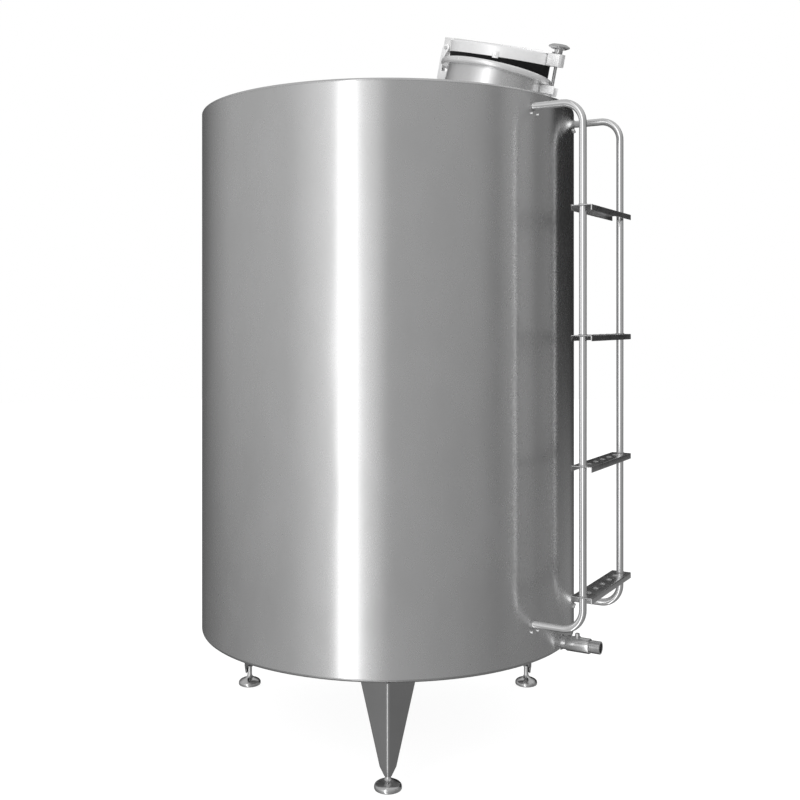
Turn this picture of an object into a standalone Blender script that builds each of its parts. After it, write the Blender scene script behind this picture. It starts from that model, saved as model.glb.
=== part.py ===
"""Vertical stainless storage tank on three adjustable feet, with a side ladder, a tilted round
manhole and a low side outlet. Metres, +Z up, floor at z = 0. Everything is built round the tank's
axis, and at the end moved so that the overall box is centred on the origin.
Azimuths are in degrees from +X, anticlockwise seen from above; -90 is the side with the front leg.
"""

import math

import bmesh
import bpy
from mathutils import Matrix, Vector

# Driving dimensions of the vessel
TANK_RADIUS = 0.591
SHEET = 0.003
SHELL_BOTTOM = 0.297
SHELL_TOP = 1.917
KNUCKLE_RADIUS = 0.008
BOTTOM_KNUCKLE = 0.010
ROOF_SLOPE = 12.0
WALL_SEGMENTS = 8
FACET_ANGLE = 5.0
SEAM_GAP = 0.0003

# Legs and feet
LEG_AZIMUTHS = {"front": -90.0, "right": 30.0, "left": 150.0}
LEG_SHEET = 0.004
LEG_TOP_HALF_WIDTH = 0.080
LEG_FOOT_HALF_WIDTH = 0.023
LEG_TOE_HALF_WIDTH = 0.010
LEG_RIDGE_TOP = 0.588
LEG_RIDGE_FOOT = 0.580
LEG_RIDGE_TOE = 0.575
LEG_CHAMFER_HEIGHT = 0.062
LEG_END_HEIGHT = 0.039
SOLE_LOW = 0.065
SOLE_HIGH = 0.075
SOLE_CLEARANCE = 0.0006
SOLE_DEPTH = 0.017
FOOT_CENTRE = 0.556
FOOT_RADIUS = 0.038
FOOT_STEM_RADIUS = 0.008

# Ladder
LADDER_AZIMUTH = -30.0
LADDER_PLANE = 0.715
RAIL_SPACING = 0.327
RAIL_RADIUS = 0.0105
RAIL_BEND_RADIUS = 0.060
RAIL_ARM_LOW = 0.409
RAIL_ARM_HIGH = 1.873
RAIL_SIDES = 16
RAIL_BEND_STEPS = 6
RUNG_HEIGHTS = (0.507, 0.867, 1.227, 1.587)
RUNG_WIDTH = 0.060
RUNG_OVERHANG = 0.026
RUNG_FLANGE = 0.016
RUNG_SHEET = 0.003
RUNG_CORNER_CLIP = 0.014

# Manhole
MANHOLE_AZIMUTH = -39.4
MANHOLE_DISTANCE = 0.404
NECK_TILT = 14.4
NECK_TILT_AZIMUTH = -22.0
NECK_RADIUS = 0.146
NECK_BELOW_ROOF = 0.025
NECK_SIDES = 48
FLANGE_RADIUS = 0.1685
FLANGE_THICKNESS = 0.019
FLANGE_TOP = 0.057

# Lid: its frame's X axis points from the hinge to the hand screw
LID_TILT = 15.5
LID_TILT_AZIMUTH = -55.0
LID_AZIMUTH = -28.0
LID_GAP = 0.035
LID_RADIUS = 0.152
LID_SKIRT = 0.033
LID_SHEET = 0.002
GASKET_RADIUS = 0.1497
GASKET_WIDTH = 0.022
BAR_WIDTH = 0.036
BAR_HEIGHT = 0.008
BAR_END = 0.164
FORK_TOP = 0.0365
FORK_END = 0.195
FORK_WIDTH = 0.040
CLIP_AZIMUTH = -73.0
CLIP_WIDTH = 0.018
CLIP_LOW = -0.004
CLIP_HIGH = 0.014

# Hand screw and its lug
SCREW_DISTANCE = 0.1765
SCREW_RADIUS = 0.005
SCREW_BORE_RADIUS = 0.0055
SCREW_DROP = 0.076
KNOB_RADIUS = 0.032
KNOB_HUB_RADIUS = 0.012
KNOB_HUB_HEIGHT = 0.012
KNOB_HEAD_HEIGHT = 0.016
KNOB_LOBES = 5
KNOB_CLEARANCE = 0.0006
LUG_HEIGHT = 0.0245
LUG_REACH = 0.045
LUG_EAR = 0.006
LUG_SLOT = 0.024
LUG_TOP = 0.0377
LUG_WEB = 0.010

# Hinge
HINGE_DISTANCE = -0.176
HINGE_PIN_RADIUS = 0.005
HINGE_BORE_RADIUS = 0.0054
HINGE_EYE_RADIUS = 0.011
HINGE_EYE_WIDTH = 0.013
HINGE_EAR_WIDTH = 0.005
HINGE_SIDE_GAP = 0.0006
HINGE_PIN_HEIGHT = 0.010
BRACKET_OUTSIDE = -0.190
BRACKET_INSIDE = -0.179
BRACKET_ELBOW = -0.022
BRACKET_FOOT = -0.086
BRACKET_STEP = -0.059
BRACKET_WEB_TOP = -0.034
BRACKET_WEB = 0.005

# Outlet at the foot of the wall
OUTLET_AZIMUTH = -30.0
OUTLET_HEIGHT = 0.320
OUTLET_PIPE_RADIUS = 0.019
VALVE_RADIUS = 0.022
VALVE_START = 0.608
VALVE_END = 0.680
VALVE_CHAMFER = 0.003
STEM_RADIUS = 0.007
STEM_TOP = 0.033
STEM_PLACE = 0.640
OUTLET_END = 0.711
OUTLET_END_RADIUS = 0.0185
OUTLET_BORE = 0.0135
OUTLET_BORE_DEPTH = 0.022


def clear_scene():
    for old in list(bpy.data.objects):
        bpy.data.objects.remove(old, do_unlink=True)


def make_material(name, colour, metallic, roughness):
    material = bpy.data.materials.new(name)
    material.use_nodes = True
    shader = material.node_tree.nodes["Principled BSDF"]
    shader.inputs["Base Color"].default_value = (*colour, 1.0)
    shader.inputs["Metallic"].default_value = metallic
    shader.inputs["Roughness"].default_value = roughness
    return material


def steel(name, shade=0.60, roughness=0.28):
    return make_material(name, (shade, shade, shade), 1.0, roughness)


def make_object(name, mesh_builder, material, place=None):
    """Turns a bmesh into a named object, shaded smooth with its hard edges kept."""
    bmesh.ops.remove_doubles(mesh_builder, verts=mesh_builder.verts, dist=1e-6)
    bmesh.ops.recalc_face_normals(mesh_builder, faces=mesh_builder.faces)
    mesh = bpy.data.meshes.new(name)
    mesh_builder.to_mesh(mesh)
    mesh_builder.free()
    mesh.shade_smooth()
    mesh.set_sharp_from_angle(angle=math.radians(30))
    made = bpy.data.objects.new(name, mesh)
    bpy.context.collection.objects.link(made)
    made.data.materials.append(material)
    if place is not None:
        made.matrix_world = place
    return made


def cutter(name, mesh_builder, place=None):
    """A guide solid that a Boolean uses: not part of the tank."""
    guide = make_object(name, mesh_builder, GUIDE_MATERIAL, place)
    guide.hide_render = True
    guide.display_type = "WIRE"
    return guide


def combine(target, other, operation):
    step = target.modifiers.new(f"{operation.lower()}_{other.name}", "BOOLEAN")
    step.operation = operation
    step.solver = "EXACT"
    step.object = other
    return target


def turned(profile, sweep=360.0, steps=72, start=0.0):
    """Turns a closed (radius, height) profile round Z. A part turn gets flat ends, and a profile
    whose first and last points lie on the axis closes there."""
    solid = bmesh.new()
    swing = Matrix.Rotation(math.radians(start), 3, "Z")
    ring = [solid.verts.new(swing @ Vector((r, 0, z))) for r, z in profile]
    full = sweep >= 360.0
    if full:
        ends_on_axis = profile[0][0] == 0 and profile[-1][0] == 0
        pairs = list(zip(ring, ring[1:])) + ([] if ends_on_axis else [(ring[-1], ring[0])])
        section = [solid.edges.new(pair) for pair in pairs]
    else:
        face = solid.faces.new(ring)
        section = [face] + list(face.edges)
    bmesh.ops.spin(
        solid,
        geom=ring + section,
        cent=(0, 0, 0),
        axis=(0, 0, 1),
        dvec=(0, 0, 0),
        angle=math.radians(sweep),
        steps=steps,
        use_merge=full,
        use_duplicate=False,
    )
    return solid


def arc(centre, radius, first, last, steps):
    """Points of a circular arc in a (radius, height) profile, angles in degrees."""
    points = []
    for i in range(steps + 1):
        a = math.radians(first + (last - first) * i / steps)
        points.append((centre[0] + radius * math.cos(a), centre[1] + radius * math.sin(a)))
    return points


def slab(outline, low, high):
    """Extrudes an (x, y) outline from z = low to z = high."""
    solid = bmesh.new()
    base = solid.faces.new([solid.verts.new((x, y, low)) for x, y in outline])
    top = bmesh.ops.extrude_face_region(solid, geom=[base])["geom"]
    raised = [v for v in top if isinstance(v, bmesh.types.BMVert)]
    bmesh.ops.translate(solid, verts=raised, vec=(0, 0, high - low))
    return solid


def block(low, high):
    """An axis-aligned box between two corners."""
    (x0, y0, z0), (x1, y1, z1) = low, high
    return slab([(x0, y0), (x1, y0), (x1, y1), (x0, y1)], z0, z1)


def rod(radius, low, high, sides):
    """A solid round bar along Z, its first facet corner on +X."""
    outline = [
        (radius * math.cos(2 * math.pi * i / sides), radius * math.sin(2 * math.pi * i / sides))
        for i in range(sides)
    ]
    return slab(outline, low, high)


def around(azimuth):
    return Matrix.Rotation(math.radians(azimuth), 4, "Z")


def tilted(origin, tilt, tilt_azimuth, forward_azimuth):
    """A frame whose Z leans by tilt towards tilt_azimuth, and whose X heads for forward_azimuth."""
    lean, heading = math.radians(tilt), math.radians(tilt_azimuth)
    z_axis = Vector((math.sin(lean) * math.cos(heading), math.sin(lean) * math.sin(heading), math.cos(lean)))
    ahead = math.radians(forward_azimuth)
    wanted = Vector((math.cos(ahead), math.sin(ahead), 0))
    y_axis = z_axis.cross(wanted).normalized()
    x_axis = y_axis.cross(z_axis)
    turn = Matrix((x_axis, y_axis, z_axis)).transposed().to_4x4()
    return Matrix.Translation(origin) @ turn


def roof_height(distance):
    """Height of the roof's outer face at a distance from the tank's axis."""
    return SHELL_TOP + (TANK_RADIUS - distance) * math.tan(math.radians(ROOF_SLOPE))


def build_wall():
    """The rolled shell, as curved sheets set edge to edge round the tank."""
    low = SHELL_BOTTOM + BOTTOM_KNUCKLE + SEAM_GAP
    high = knuckle_start() - SEAM_GAP
    span = 360.0 / WALL_SEGMENTS
    gap = math.degrees(SEAM_GAP / TANK_RADIUS)
    profile = [
        (TANK_RADIUS - SHEET, low),
        (TANK_RADIUS, low),
        (TANK_RADIUS, high),
        (TANK_RADIUS - SHEET, high),
    ]
    for i in range(WALL_SEGMENTS):
        sheet = turned(profile, span - gap, round(span / FACET_ANGLE), i * span + gap / 2)
        make_object(f"shell_wall_{i + 1}", sheet, steel(f"shell_{i + 1}", 0.62))


def knuckle_start():
    """Height where the wall bends over into the roof."""
    return SHELL_TOP - KNUCKLE_RADIUS * math.tan(math.radians((90 - ROOF_SLOPE) / 2))


def build_roof(neck_frame):
    """Shallow cone with a rounded rim, cut for the manhole's neck."""
    centre = (TANK_RADIUS - KNUCKLE_RADIUS, knuckle_start())
    turn = 90 - ROOF_SLOPE
    outside = arc(centre, KNUCKLE_RADIUS, 0, turn, 5)
    inside = arc(centre, KNUCKLE_RADIUS - SHEET, turn, 0, 5)
    rise = SHEET / math.cos(math.radians(ROOF_SLOPE))
    profile = [(0, roof_height(0)), *reversed(outside), *reversed(inside), (0, roof_height(0) - rise)]
    roof = make_object("roof", turned(profile), steel("roof_steel", 0.62))
    hole = cutter("roof_hole", rod(NECK_RADIUS + SEAM_GAP, -0.15, 0.15, NECK_SIDES), neck_frame)
    combine(roof, hole, "DIFFERENCE")


def build_bottom():
    """Flat floor of the tank with its edge turned up to meet the wall."""
    centre = (TANK_RADIUS - BOTTOM_KNUCKLE, SHELL_BOTTOM + BOTTOM_KNUCKLE)
    outside = arc(centre, BOTTOM_KNUCKLE, -90, 0, 3)
    inside = arc(centre, BOTTOM_KNUCKLE - SHEET, 0, -90, 3)
    profile = [(0, SHELL_BOTTOM), *outside, *inside, (0, SHELL_BOTTOM + SHEET)]
    make_object("bottom_plate", turned(profile), steel("bottom_steel", 0.5))


def fold_outline(ridge, half_width, height):
    """Plan of the leg's right-angled fold: its ridge faces outwards."""
    back = ridge - half_width
    inset = LEG_SHEET * math.sqrt(2)
    return [
        (ridge, 0, height),
        (back, half_width, height),
        (back, half_width - inset, height),
        (ridge - inset, 0, height),
        (back, inset - half_width, height),
        (back, -half_width, height),
    ]


def lofted(levels):
    """A solid through outlines with the same number of points, one above the other."""
    solid = bmesh.new()
    rings = [[solid.verts.new(point) for point in level] for level in levels]
    solid.faces.new(rings[0])
    solid.faces.new(rings[-1])
    for lower, upper in zip(rings, rings[1:]):
        for i in range(len(lower)):
            solid.faces.new((lower[i - 1], lower[i], upper[i], upper[i - 1]))
    return solid


def build_leg(side, azimuth):
    """Tapered leg folded from plate, the sole plate inside it and the screwed foot under that."""
    place = around(azimuth)
    levels = [
        fold_outline(LEG_RIDGE_TOP, LEG_TOP_HALF_WIDTH, SHELL_BOTTOM - SEAM_GAP),
        fold_outline(LEG_RIDGE_FOOT, LEG_FOOT_HALF_WIDTH, LEG_CHAMFER_HEIGHT),
        fold_outline(LEG_RIDGE_TOE, LEG_TOE_HALF_WIDTH, LEG_END_HEIGHT),
    ]
    make_object(f"leg_{side}", lofted(levels), steel(f"leg_{side}_steel", 0.6), place)

    inner = LEG_RIDGE_FOOT - LEG_SHEET * math.sqrt(2) - SOLE_CLEARANCE
    sole = [(inner, 0), (inner - SOLE_DEPTH, SOLE_DEPTH), (inner - SOLE_DEPTH, -SOLE_DEPTH)]
    make_object(f"leg_sole_{side}", slab(sole, SOLE_LOW, SOLE_HIGH), steel(f"sole_{side}"), place)

    profile = [(0, 0), (FOOT_RADIUS - 0.004, 0), (FOOT_RADIUS, 0.004), (FOOT_RADIUS, 0.008)]
    profile += [(0.0365, 0.0135), (0.0320, 0.0178), (0.0245, 0.0215), (0.0160, 0.0248)]
    profile += [(0.0105, 0.0290), (FOOT_STEM_RADIUS, 0.0340), (FOOT_STEM_RADIUS, SOLE_LOW - SEAM_GAP)]
    profile += [(0, SOLE_LOW - SEAM_GAP)]
    shift = place @ Matrix.Translation((FOOT_CENTRE, 0, 0))
    make_object(f"foot_{side}", turned(profile, steps=24), steel(f"foot_{side}_steel", 0.6), shift)


def rail_rings(offset):
    """Sections of a rail: out from the wall, up through a bend, along, and back through another."""
    reach = LADDER_PLANE - RAIL_BEND_RADIUS
    low, high = RAIL_ARM_LOW + RAIL_BEND_RADIUS, RAIL_ARM_HIGH - RAIL_BEND_RADIUS
    stations = [(TANK_RADIUS - 0.06, RAIL_ARM_LOW, 0.0)]
    for centre_z, first in ((low, 0.0), (high, 90.0)):
        for i in range(RAIL_BEND_STEPS + 1):
            heading = first + 90.0 * i / RAIL_BEND_STEPS
            a = math.radians(heading)
            x = reach + RAIL_BEND_RADIUS * math.sin(a)
            stations.append((x, centre_z - RAIL_BEND_RADIUS * math.cos(a), heading))
    stations.append((TANK_RADIUS - 0.06, RAIL_ARM_HIGH, 180.0))
    rings = []
    for x, z, heading in stations:
        a = math.radians(heading)
        ring = []
        for i in range(RAIL_SIDES):
            b = 2 * math.pi * i / RAIL_SIDES
            lift = RAIL_RADIUS * math.sin(b)
            ring.append((x - lift * math.sin(a), offset + RAIL_RADIUS * math.cos(b), z + lift * math.cos(a)))
        rings.append(ring)
    return rings


def build_rail(name, offset, wall_cutter):
    """Bent tube rail: its two arms run level to the wall, where they are welded on."""
    tube = steel(name + "_tube", 0.66)
    rail = make_object(name, lofted(rail_rings(offset)), tube, around(LADDER_AZIMUTH))
    combine(rail, wall_cutter, "DIFFERENCE")


def build_rung(number, height):
    """Step folded from sheet: a flat tread with its long edges turned down, holed for the rails."""
    half, thick = RUNG_WIDTH / 2, RUNG_SHEET
    section = [
        (-half, height - RUNG_FLANGE),
        (-half + thick, height - RUNG_FLANGE),
        (-half + thick, height - thick),
        (half - thick, height - thick),
        (half - thick, height - RUNG_FLANGE),
        (half, height - RUNG_FLANGE),
        (half, height),
        (-half, height),
    ]
    reach = RAIL_SPACING / 2 + RUNG_OVERHANG
    solid = slab(section, -reach, reach)
    bmesh.ops.rotate(solid, verts=solid.verts, cent=(0, 0, 0), matrix=Matrix.Rotation(math.radians(90), 3, "X"))
    for side in (-1, 1):
        clip = bmesh.ops.bisect_plane(
            solid,
            geom=list(solid.verts) + list(solid.edges) + list(solid.faces),
            plane_co=(side * half, reach - RUNG_CORNER_CLIP, 0),
            plane_no=(side, 1, 0),
            clear_outer=True,
        )
        cut_edges = [item for item in clip["geom_cut"] if isinstance(item, bmesh.types.BMEdge)]
        bmesh.ops.holes_fill(solid, edges=cut_edges, sides=0)
    place = around(LADDER_AZIMUTH) @ Matrix.Translation((LADDER_PLANE, 0, 0))
    rung = make_object(f"ladder_rung_{number}", solid, steel(f"rung_{number}_steel", 0.35, 0.4), place)
    for side in (-1, 1):
        hole = rod(RAIL_RADIUS + SEAM_GAP, height - 0.05, height + 0.05, RAIL_SIDES)
        where = place @ Matrix.Translation((0, side * RAIL_SPACING / 2, 0))
        combine(rung, cutter(f"rung_{number}_hole_{side}", hole, where), "DIFFERENCE")


def build_ladder(wall_cutter):
    build_rail("ladder_rail_left", -RAIL_SPACING / 2, wall_cutter)
    build_rail("ladder_rail_right", RAIL_SPACING / 2, wall_cutter)
    for number, height in enumerate(RUNG_HEIGHTS, 1):
        build_rung(number, height)


def build_neck(neck_frame):
    """Short tube through the roof, with a rolled rim round its mouth."""
    profile = [
        (NECK_RADIUS - SHEET, -NECK_BELOW_ROOF),
        (NECK_RADIUS, -NECK_BELOW_ROOF),
        (NECK_RADIUS, FLANGE_TOP),
        (NECK_RADIUS - SHEET, FLANGE_TOP),
    ]
    make_object("manhole_neck", turned(profile, steps=NECK_SIDES), steel("neck_steel"), neck_frame)

    bottom, roll = FLANGE_TOP - FLANGE_THICKNESS, FLANGE_THICKNESS * 0.4
    inner, outer = NECK_RADIUS + SEAM_GAP, FLANGE_RADIUS
    rim = [(inner, bottom)]
    rim += arc((outer - roll, bottom + roll), roll, -90, 0, 3)
    rim += arc((outer - roll, FLANGE_TOP - roll), roll, 0, 90, 3)
    rim += [(inner, FLANGE_TOP)]
    make_object("manhole_rim", turned(rim, steps=NECK_SIDES), steel("rim_steel", 0.7), neck_frame)


def build_lug(neck_frame, lid_frame, neck_cutter):
    """Forked lug on the neck, in whose slot the hand screw's lower end stands."""
    to_neck = neck_frame.inverted() @ lid_frame
    upper, foot = (to_neck @ Vector((SCREW_DISTANCE, 0, z)) for z in (0, -SCREW_DROP))
    middle = LUG_TOP - LUG_HEIGHT / 2
    slot_y = foot.y + (upper.y - foot.y) * (middle - foot.z) / (upper.z - foot.z)
    outer_y = LUG_SLOT / 2 + LUG_EAR
    inside, web, reach = NECK_RADIUS - 0.02, NECK_RADIUS + LUG_WEB, NECK_RADIUS + LUG_REACH
    outline = [
        (inside, -outer_y),
        (reach, -outer_y),
        (reach, -LUG_SLOT / 2),
        (web, -LUG_SLOT / 2),
        (web, LUG_SLOT / 2),
        (reach, LUG_SLOT / 2),
        (reach, outer_y),
        (inside, outer_y),
    ]
    solid = slab([(x, y + slot_y) for x, y in outline], LUG_TOP - LUG_HEIGHT, LUG_TOP)
    lug = make_object("screw_lug", solid, steel("lug_steel", 0.7), neck_frame)
    combine(lug, neck_cutter, "DIFFERENCE")


def build_lid(lid_frame, neck_frame):
    """Shallow round pan with a fat rubber seal under it that sits on the neck's rim."""
    roll = 0.006
    top, thick = LID_SKIRT, LID_SHEET
    outside = arc((LID_RADIUS - roll, top - roll), roll, 90, 0, 3)
    inside = arc((LID_RADIUS - roll, top - roll), roll - thick, 0, 90, 3)
    profile = [(0, top), *outside, (LID_RADIUS, 0), (LID_RADIUS - thick, 0), *inside, (0, top - thick)]
    make_object("lid_pan", turned(profile, steps=NECK_SIDES), steel("lid_steel", 0.7), lid_frame)

    crest = top - roll - SEAM_GAP
    ring = [
        (GASKET_RADIUS - GASKET_WIDTH, -0.08),
        (GASKET_RADIUS, -0.08),
        (GASKET_RADIUS, crest),
        (GASKET_RADIUS - GASKET_WIDTH, crest),
    ]
    rubber = make_material("seal_rubber", (0.01, 0.01, 0.01), 0.0, 0.7)
    seal = make_object("lid_seal", turned(ring, steps=NECK_SIDES), rubber, lid_frame)
    below = block((-0.25, -0.25, -0.2), (0.25, 0.25, FLANGE_TOP + SEAM_GAP))
    combine(seal, cutter("seat_plane", below, neck_frame), "DIFFERENCE")


def build_clip(lid_frame):
    """Small strap on the near side of the pan's skirt, hanging over the seal."""
    place = lid_frame @ around(CLIP_AZIMUTH)
    low = (LID_RADIUS + SEAM_GAP, -CLIP_WIDTH / 2, CLIP_LOW)
    high = (LID_RADIUS + SEAM_GAP + 0.0025, CLIP_WIDTH / 2, CLIP_HIGH)
    make_object("lid_clip", block(low, high), steel("clip_steel", 0.8), place)


def build_bar(lid_frame):
    """Flat bar across the lid: an eye for the hinge pin at one end, a bored block at the other."""
    base = LID_SKIRT + SEAM_GAP
    crown = base + BAR_HEIGHT
    half = BAR_WIDTH / 2
    bar = make_object(
        "lid_bar",
        block((HINGE_DISTANCE, -HINGE_EYE_WIDTH / 2, base), (BAR_END, HINGE_EYE_WIDTH / 2, crown)),
        steel("bar_steel", 0.7),
        lid_frame,
    )
    wide = block((-LID_RADIUS, -half, base), (BAR_END, half, crown))
    combine(bar, cutter("bar_wide", wide, lid_frame), "UNION")
    end = block(
        (LID_RADIUS + SEAM_GAP, -FORK_WIDTH / 2, 0),
        (FORK_END, FORK_WIDTH / 2, FORK_TOP),
    )
    combine(bar, cutter("bar_block", end, lid_frame), "UNION")
    eye = [(HINGE_DISTANCE - HINGE_EYE_RADIUS, HINGE_PIN_HEIGHT)]
    eye += arc((HINGE_DISTANCE, HINGE_PIN_HEIGHT), HINGE_EYE_RADIUS, 180, 360, 10)[1:]
    eye += [(HINGE_DISTANCE + HINGE_EYE_RADIUS, crown), (HINGE_DISTANCE - HINGE_EYE_RADIUS, crown)]
    combine(bar, cutter("bar_eye", upright(eye, HINGE_EYE_WIDTH), lid_frame), "UNION")
    combine(bar, cutter("bar_eye_bore", pin_bar(HINGE_BORE_RADIUS, 0.06), hinge_frame(lid_frame)), "DIFFERENCE")
    bore = cutter("bar_screw_bore", rod(SCREW_BORE_RADIUS, -0.05, 0.1, 16), screw_frame(lid_frame))
    combine(bar, bore, "DIFFERENCE")


def upright(outline, width):
    """Extrudes an (x, z) outline to a plate of the given width, centred on y = 0."""
    plate = slab(outline, -width / 2, width / 2)
    turn = Matrix.Rotation(math.radians(90), 3, "X")
    bmesh.ops.rotate(plate, verts=plate.verts, cent=(0, 0, 0), matrix=turn)
    return plate


def pin_bar(radius, length):
    bar = rod(radius, -length / 2, length / 2, 16)
    turn = Matrix.Rotation(math.radians(90), 3, "X")
    bmesh.ops.rotate(bar, verts=bar.verts, cent=(0, 0, 0), matrix=turn)
    return bar


def hinge_frame(lid_frame):
    return lid_frame @ Matrix.Translation((HINGE_DISTANCE, 0, HINGE_PIN_HEIGHT))


def screw_frame(lid_frame):
    return lid_frame @ Matrix.Translation((SCREW_DISTANCE, 0, 0))


def build_hinge(lid_frame, neck_cutter):
    """Bracket on the neck: two ears either side of the lid's eye, joined by a web lower down."""
    ear_inner = HINGE_EYE_WIDTH / 2 + HINGE_SIDE_GAP
    ear_outer = ear_inner + HINGE_EAR_WIDTH
    step_end = 0.02 - NECK_RADIUS
    side = arc((HINGE_DISTANCE, HINGE_PIN_HEIGHT), HINGE_EYE_RADIUS, 180, 0, 8)
    side += [(BRACKET_INSIDE, BRACKET_ELBOW), (BRACKET_INSIDE, BRACKET_STEP), (step_end, BRACKET_STEP)]
    side += [(step_end, BRACKET_FOOT), (BRACKET_OUTSIDE, BRACKET_FOOT), (BRACKET_OUTSIDE, BRACKET_ELBOW)]
    bracket = make_object(
        "hinge_bracket", upright(side, 2 * ear_outer), steel("bracket_steel", 0.8), lid_frame
    )
    room = block((-0.25, -ear_inner, BRACKET_WEB_TOP), (-0.10, ear_inner, 0.06))
    combine(bracket, cutter("bracket_room", room, lid_frame), "DIFFERENCE")
    hollow = block((BRACKET_OUTSIDE + BRACKET_WEB, -ear_inner, -0.12), (-0.10, ear_inner, 0.0))
    combine(bracket, cutter("bracket_hollow", hollow, lid_frame), "DIFFERENCE")
    combine(bracket, neck_cutter, "DIFFERENCE")
    bore = pin_bar(HINGE_PIN_RADIUS + SEAM_GAP, 0.1)
    combine(bracket, cutter("bracket_bore", bore, hinge_frame(lid_frame)), "DIFFERENCE")
    pin = pin_bar(HINGE_PIN_RADIUS, 2 * ear_outer + 0.006)
    make_object("hinge_pin", pin, steel("pin_steel", 0.5), hinge_frame(lid_frame))


def build_hand_screw(lid_frame):
    """Screw hanging through the bar's end block, and the lobed knob that turns it."""
    frame = screw_frame(lid_frame)
    seat = FORK_TOP + KNOB_CLEARANCE
    screw = rod(SCREW_RADIUS, -SCREW_DROP, seat - SEAM_GAP, 16)
    make_object("hand_screw", screw, steel("screw_steel", 0.7), frame)

    head = seat + KNOB_HUB_HEIGHT
    knob = make_object("hand_knob", rod(KNOB_HUB_RADIUS, seat, head + 0.002, 20), steel("knob_steel", 0.6), frame)
    outline = []
    steps = 10 * KNOB_LOBES
    for i in range(steps):
        a = 2 * math.pi * i / steps
        r = KNOB_RADIUS * (1 - 0.14 * (1 - math.cos(KNOB_LOBES * a)) / 2)
        outline.append((r * math.cos(a), r * math.sin(a)))
    low = [(x, y, head) for x, y in outline]
    middle = [(x, y, head + KNOB_HEAD_HEIGHT * 0.45) for x, y in outline]
    top = [(x * 0.5, y * 0.5, head + KNOB_HEAD_HEIGHT) for x, y in outline]
    star = lofted([[(x * 0.6, y * 0.6, z - 0.001) for x, y, z in low], middle, top])
    combine(knob, cutter("knob_head", star, frame), "UNION")


def build_outlet(wall_cutter):
    """Short stub, valve body with its stem on top, and a hollow end spigot."""
    lie = Matrix.Rotation(math.radians(90), 4, "Y")
    frame = around(OUTLET_AZIMUTH) @ Matrix.Translation((0, 0, OUTLET_HEIGHT)) @ lie
    stub = rod(OUTLET_PIPE_RADIUS, TANK_RADIUS - 0.02, VALVE_START - SEAM_GAP, 24)
    pipe = make_object("outlet_pipe", stub, steel("outlet_steel", 0.55), frame)
    combine(pipe, wall_cutter, "DIFFERENCE")

    chamfered = [
        (0, VALVE_START),
        (VALVE_RADIUS - VALVE_CHAMFER, VALVE_START),
        (VALVE_RADIUS, VALVE_START + VALVE_CHAMFER),
        (VALVE_RADIUS, VALVE_END - VALVE_CHAMFER),
        (VALVE_RADIUS - VALVE_CHAMFER, VALVE_END),
        (0, VALVE_END),
    ]
    valve = make_object("valve_body", turned(chamfered, steps=24), steel("valve_steel", 0.6), frame)
    upward = around(OUTLET_AZIMUTH) @ Matrix.Translation((STEM_PLACE, 0, OUTLET_HEIGHT))
    combine(valve, cutter("valve_stem", rod(STEM_RADIUS, 0, STEM_TOP, 12), upward), "UNION")

    start = VALVE_END + SEAM_GAP
    spigot = [
        (0, start),
        (OUTLET_END_RADIUS, start),
        (OUTLET_END_RADIUS, OUTLET_END),
        (OUTLET_BORE, OUTLET_END),
        (OUTLET_BORE, OUTLET_END - OUTLET_BORE_DEPTH),
        (0, OUTLET_END - OUTLET_BORE_DEPTH),
    ]
    make_object("outlet_spigot", turned(spigot, steps=24), steel("spigot_steel", 0.7), frame)


clear_scene()
GUIDE_MATERIAL = make_material("guide", (1, 0, 1), 0.0, 0.5)

heading = math.radians(MANHOLE_AZIMUTH)
neck_origin = Vector((
    MANHOLE_DISTANCE * math.cos(heading),
    MANHOLE_DISTANCE * math.sin(heading),
    roof_height(MANHOLE_DISTANCE),
))
neck_place = tilted(neck_origin, NECK_TILT, NECK_TILT_AZIMUTH, LID_AZIMUTH)
lid_place = tilted(
    neck_place @ Vector((0, 0, FLANGE_TOP + LID_GAP)), LID_TILT, LID_TILT_AZIMUTH, LID_AZIMUTH
)
tank_face = cutter("tank_face", rod(TANK_RADIUS + SEAM_GAP, 0.0, 2.2, 72))
neck_face = cutter("neck_face", rod(NECK_RADIUS + SEAM_GAP, -0.2, 0.2, NECK_SIDES), neck_place)

build_wall()
build_roof(neck_place)
build_bottom()
for leg_side, leg_azimuth in LEG_AZIMUTHS.items():
    build_leg(leg_side, leg_azimuth)
build_ladder(tank_face)
build_neck(neck_place)
build_lug(neck_place, lid_place, neck_face)
build_lid(lid_place, neck_place)
build_clip(lid_place)
build_bar(lid_place)
build_hinge(lid_place, neck_face)
build_hand_screw(lid_place)
build_outlet(tank_face)

# The shared frame starts at the middle of the overall box, under the tank and its ladder
ladder_side = math.radians(LADDER_AZIMUTH)
widest = (LADDER_PLANE + RUNG_WIDTH / 2) * math.cos(ladder_side)
widest -= (RAIL_SPACING / 2 + RUNG_OVERHANG - RUNG_CORNER_CLIP) * math.sin(ladder_side)
centring = Matrix.Translation(((TANK_RADIUS - widest) / 2, 0, 0))
for made in bpy.data.objects:
    made.matrix_world = centring @ made.matrix_world
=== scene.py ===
"""Upright stainless storage tank with a side ladder, tilted manhole and low outlet, on the CAD frame."""

import math
import random

import bmesh
import bpy
from mathutils import Matrix, Vector


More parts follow.
